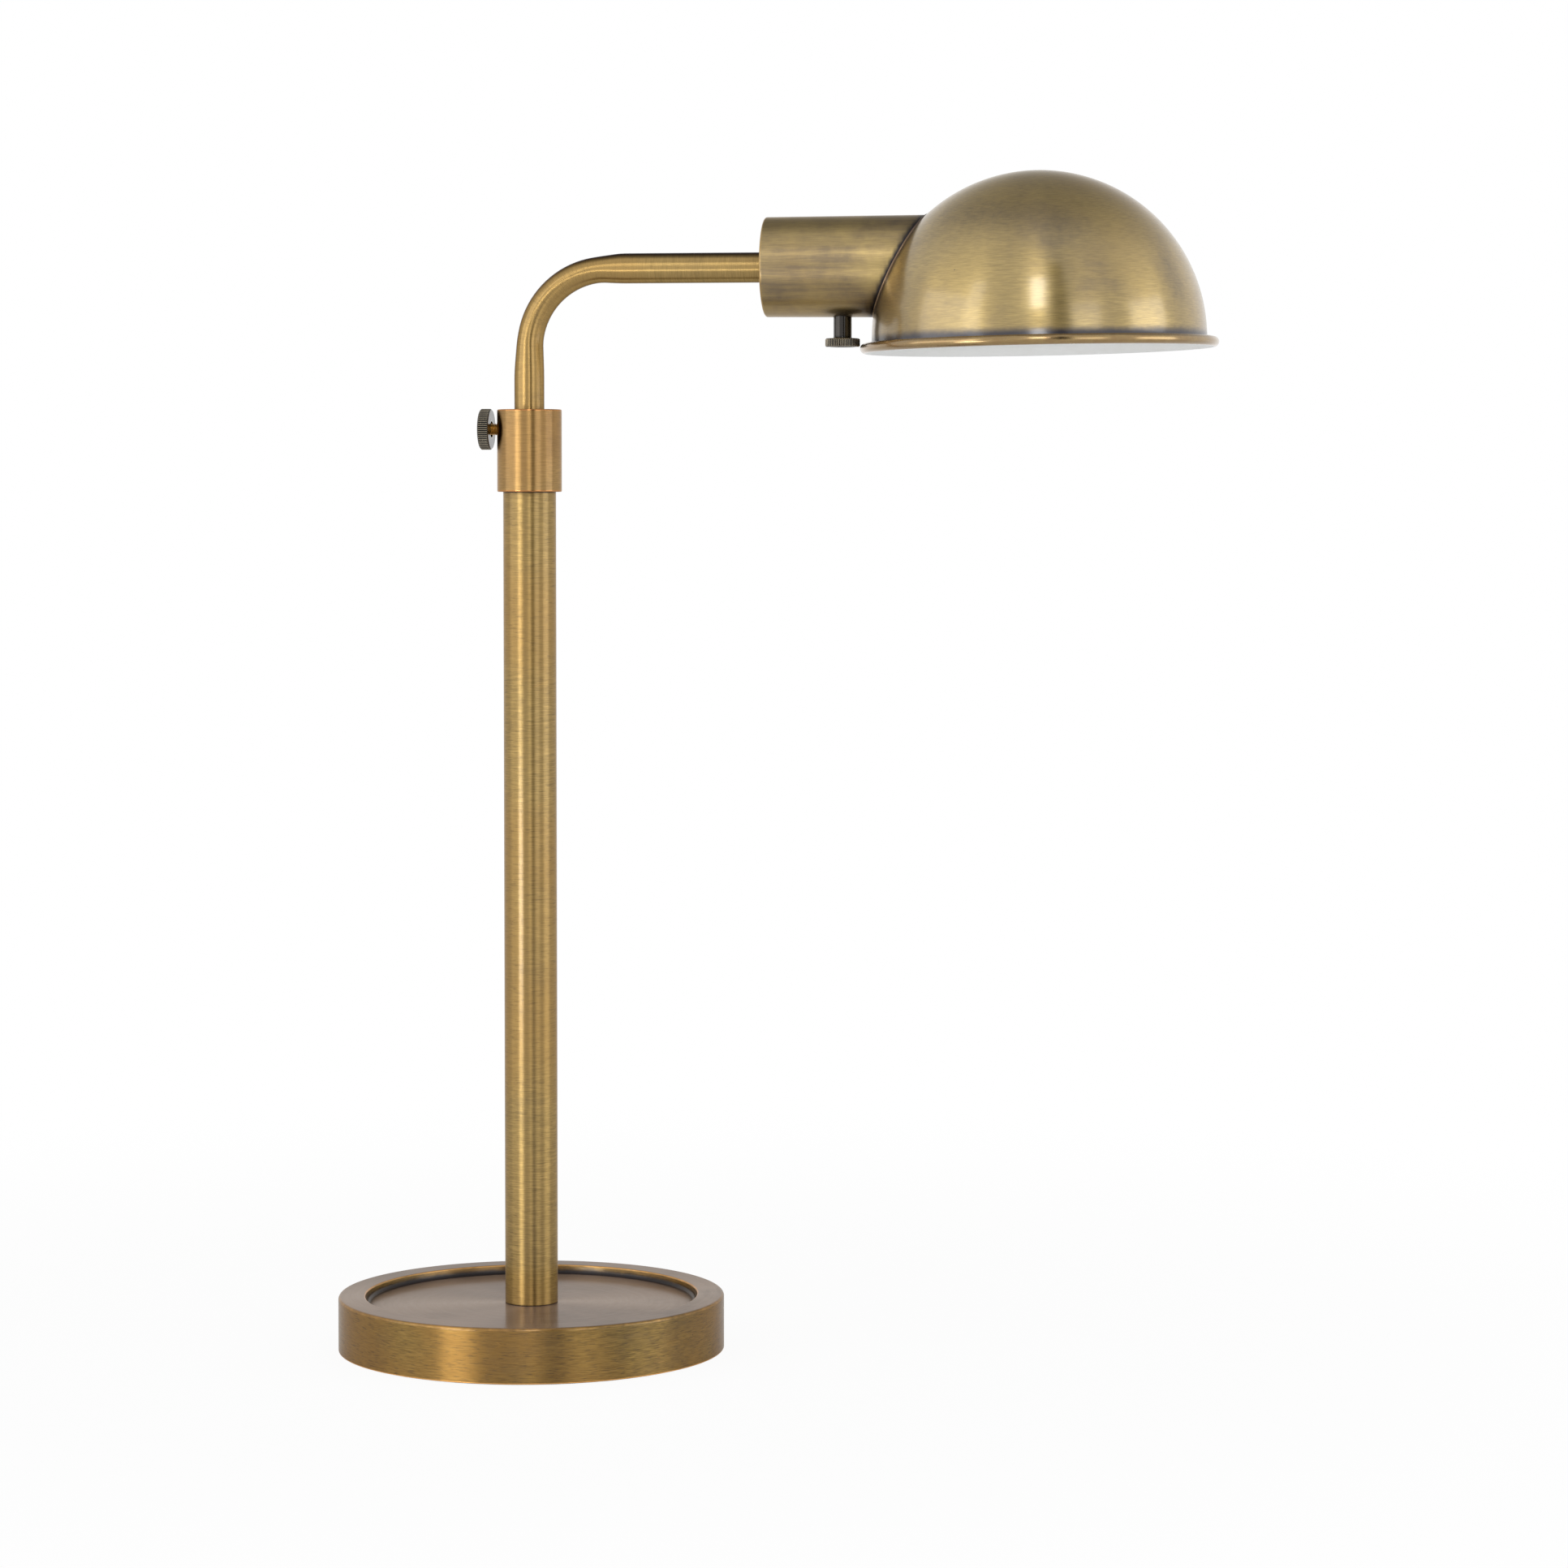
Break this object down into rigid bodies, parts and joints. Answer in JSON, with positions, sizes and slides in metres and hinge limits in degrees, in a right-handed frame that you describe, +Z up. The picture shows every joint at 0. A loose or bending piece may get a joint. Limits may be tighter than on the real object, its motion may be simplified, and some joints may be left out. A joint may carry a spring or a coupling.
{
  "type": "table lamp",
  "caption": "Desk lamp with a round weighted base, a straight stem, a telescoping bent arm held by a thumb screw, and a tilting dome shade with a turn-knob socket.",
  "frame": {"origin": "on the table, under the stem's axis", "axes": "+Z up along the stem, +X along the arm towards the shade, +Y to the back where the cord inlet is"},
  "size_m": [0.3745, 0.1665, 0.5009],
  "materials": {
    "antique_brass": "brushed, antiqued and lacquered",
    "dark_bronze": "blackened, satin",
    "turned_brass": "turned, bright",
    "grey_iron": "rough casting, painted",
    "green_felt": "felt",
    "brown_rubber": "moulded",
    "zinc_steel": "zinc plated",
    "brown_fibre": "vulcanised fibre",
    "white_nylon": "moulded",
    "black_phenolic": "moulded, semi-gloss",
    "nickel_cap": "nickel plated",
    "black_glass": "fused",
    "frosted_glass": "frosted white"
  },
  "bodies": {
    "base": {"base_shell": "antique_brass", "base_weight": "grey_iron", "felt_pad": "green_felt", "cord_bushing": "brown_rubber", "stem_tube": "antique_brass", "stem_plug": "turned_brass", "stem_nipple": "turned_brass", "base_washer": "zinc_steel", "base_lock_washer": "zinc_steel", "base_nut": "zinc_steel", "stem_collar": "antique_brass"},
    "clamp": {"clamp_pad": "turned_brass"},
    "screw": {"thumb_screw": "dark_bronze"},
    "guide": {"guide_bush": "white_nylon"},
    "arm": {"arm_foot": "turned_brass", "arm_tube": "antique_brass", "arm_plug": "turned_brass", "pivot_nipple": "turned_brass", "friction_washer": "brown_fibre", "pivot_washer": "zinc_steel", "spring_washer": "zinc_steel", "pivot_nut": "zinc_steel"},
    "head": {"socket_housing": "antique_brass", "shade_shell": "antique_brass", "socket_strap": "zinc_steel", "strap_screws": "zinc_steel", "socket_body": "black_phenolic", "socket_cover": "black_phenolic", "terminal_screws": "turned_brass", "screw_shell": "turned_brass", "centre_contact": "turned_brass", "bulb_cap": "nickel_cap", "bulb_insulator": "black_glass", "bulb_tip": "nickel_cap", "bulb_glass": "frosted_glass"},
    "switch": {"switch_spindle": "zinc_steel", "switch_rotor": "white_nylon", "switch_knob": "dark_bronze"}
  },
  "joints": [
    {"name": "clamp_travel", "type": "slide", "parent": "base", "child": "clamp", "axis": [-1, 0, 0], "range_m": [0, 0.0017]},
    {"name": "screw_turn", "type": "hinge", "parent": "clamp", "child": "screw", "pos_m": [-0.0164, 0, 0.3934], "axis": [-1, 0, 0], "range_deg": [0, 720]},
    {"name": "arm_height", "type": "slide", "parent": "base", "child": "guide", "axis": [0, 0, 1], "range_m": [-0.01, 0.15]},
    {"name": "arm_swivel", "type": "hinge", "parent": "guide", "child": "arm", "pos_m": [0, 0, 0.4613], "axis": [0, 0, 1], "range_deg": [-180, 180]},
    {"name": "head_tilt", "type": "hinge", "parent": "arm", "child": "head", "pos_m": [0.1015, 0, 0.4613], "axis": [1, 0, 0], "range_deg": [-90, 90]},
    {"name": "switch_turn", "type": "hinge", "parent": "head", "child": "switch", "pos_m": [0.1342, 0, 0.4277], "axis": [0, 0, 1], "continuous": true}
  ],
  "couplings": [
    {"joint": "clamp_travel", "follows": "screw_turn", "m_per_rad": 0.00012732}
  ]
}
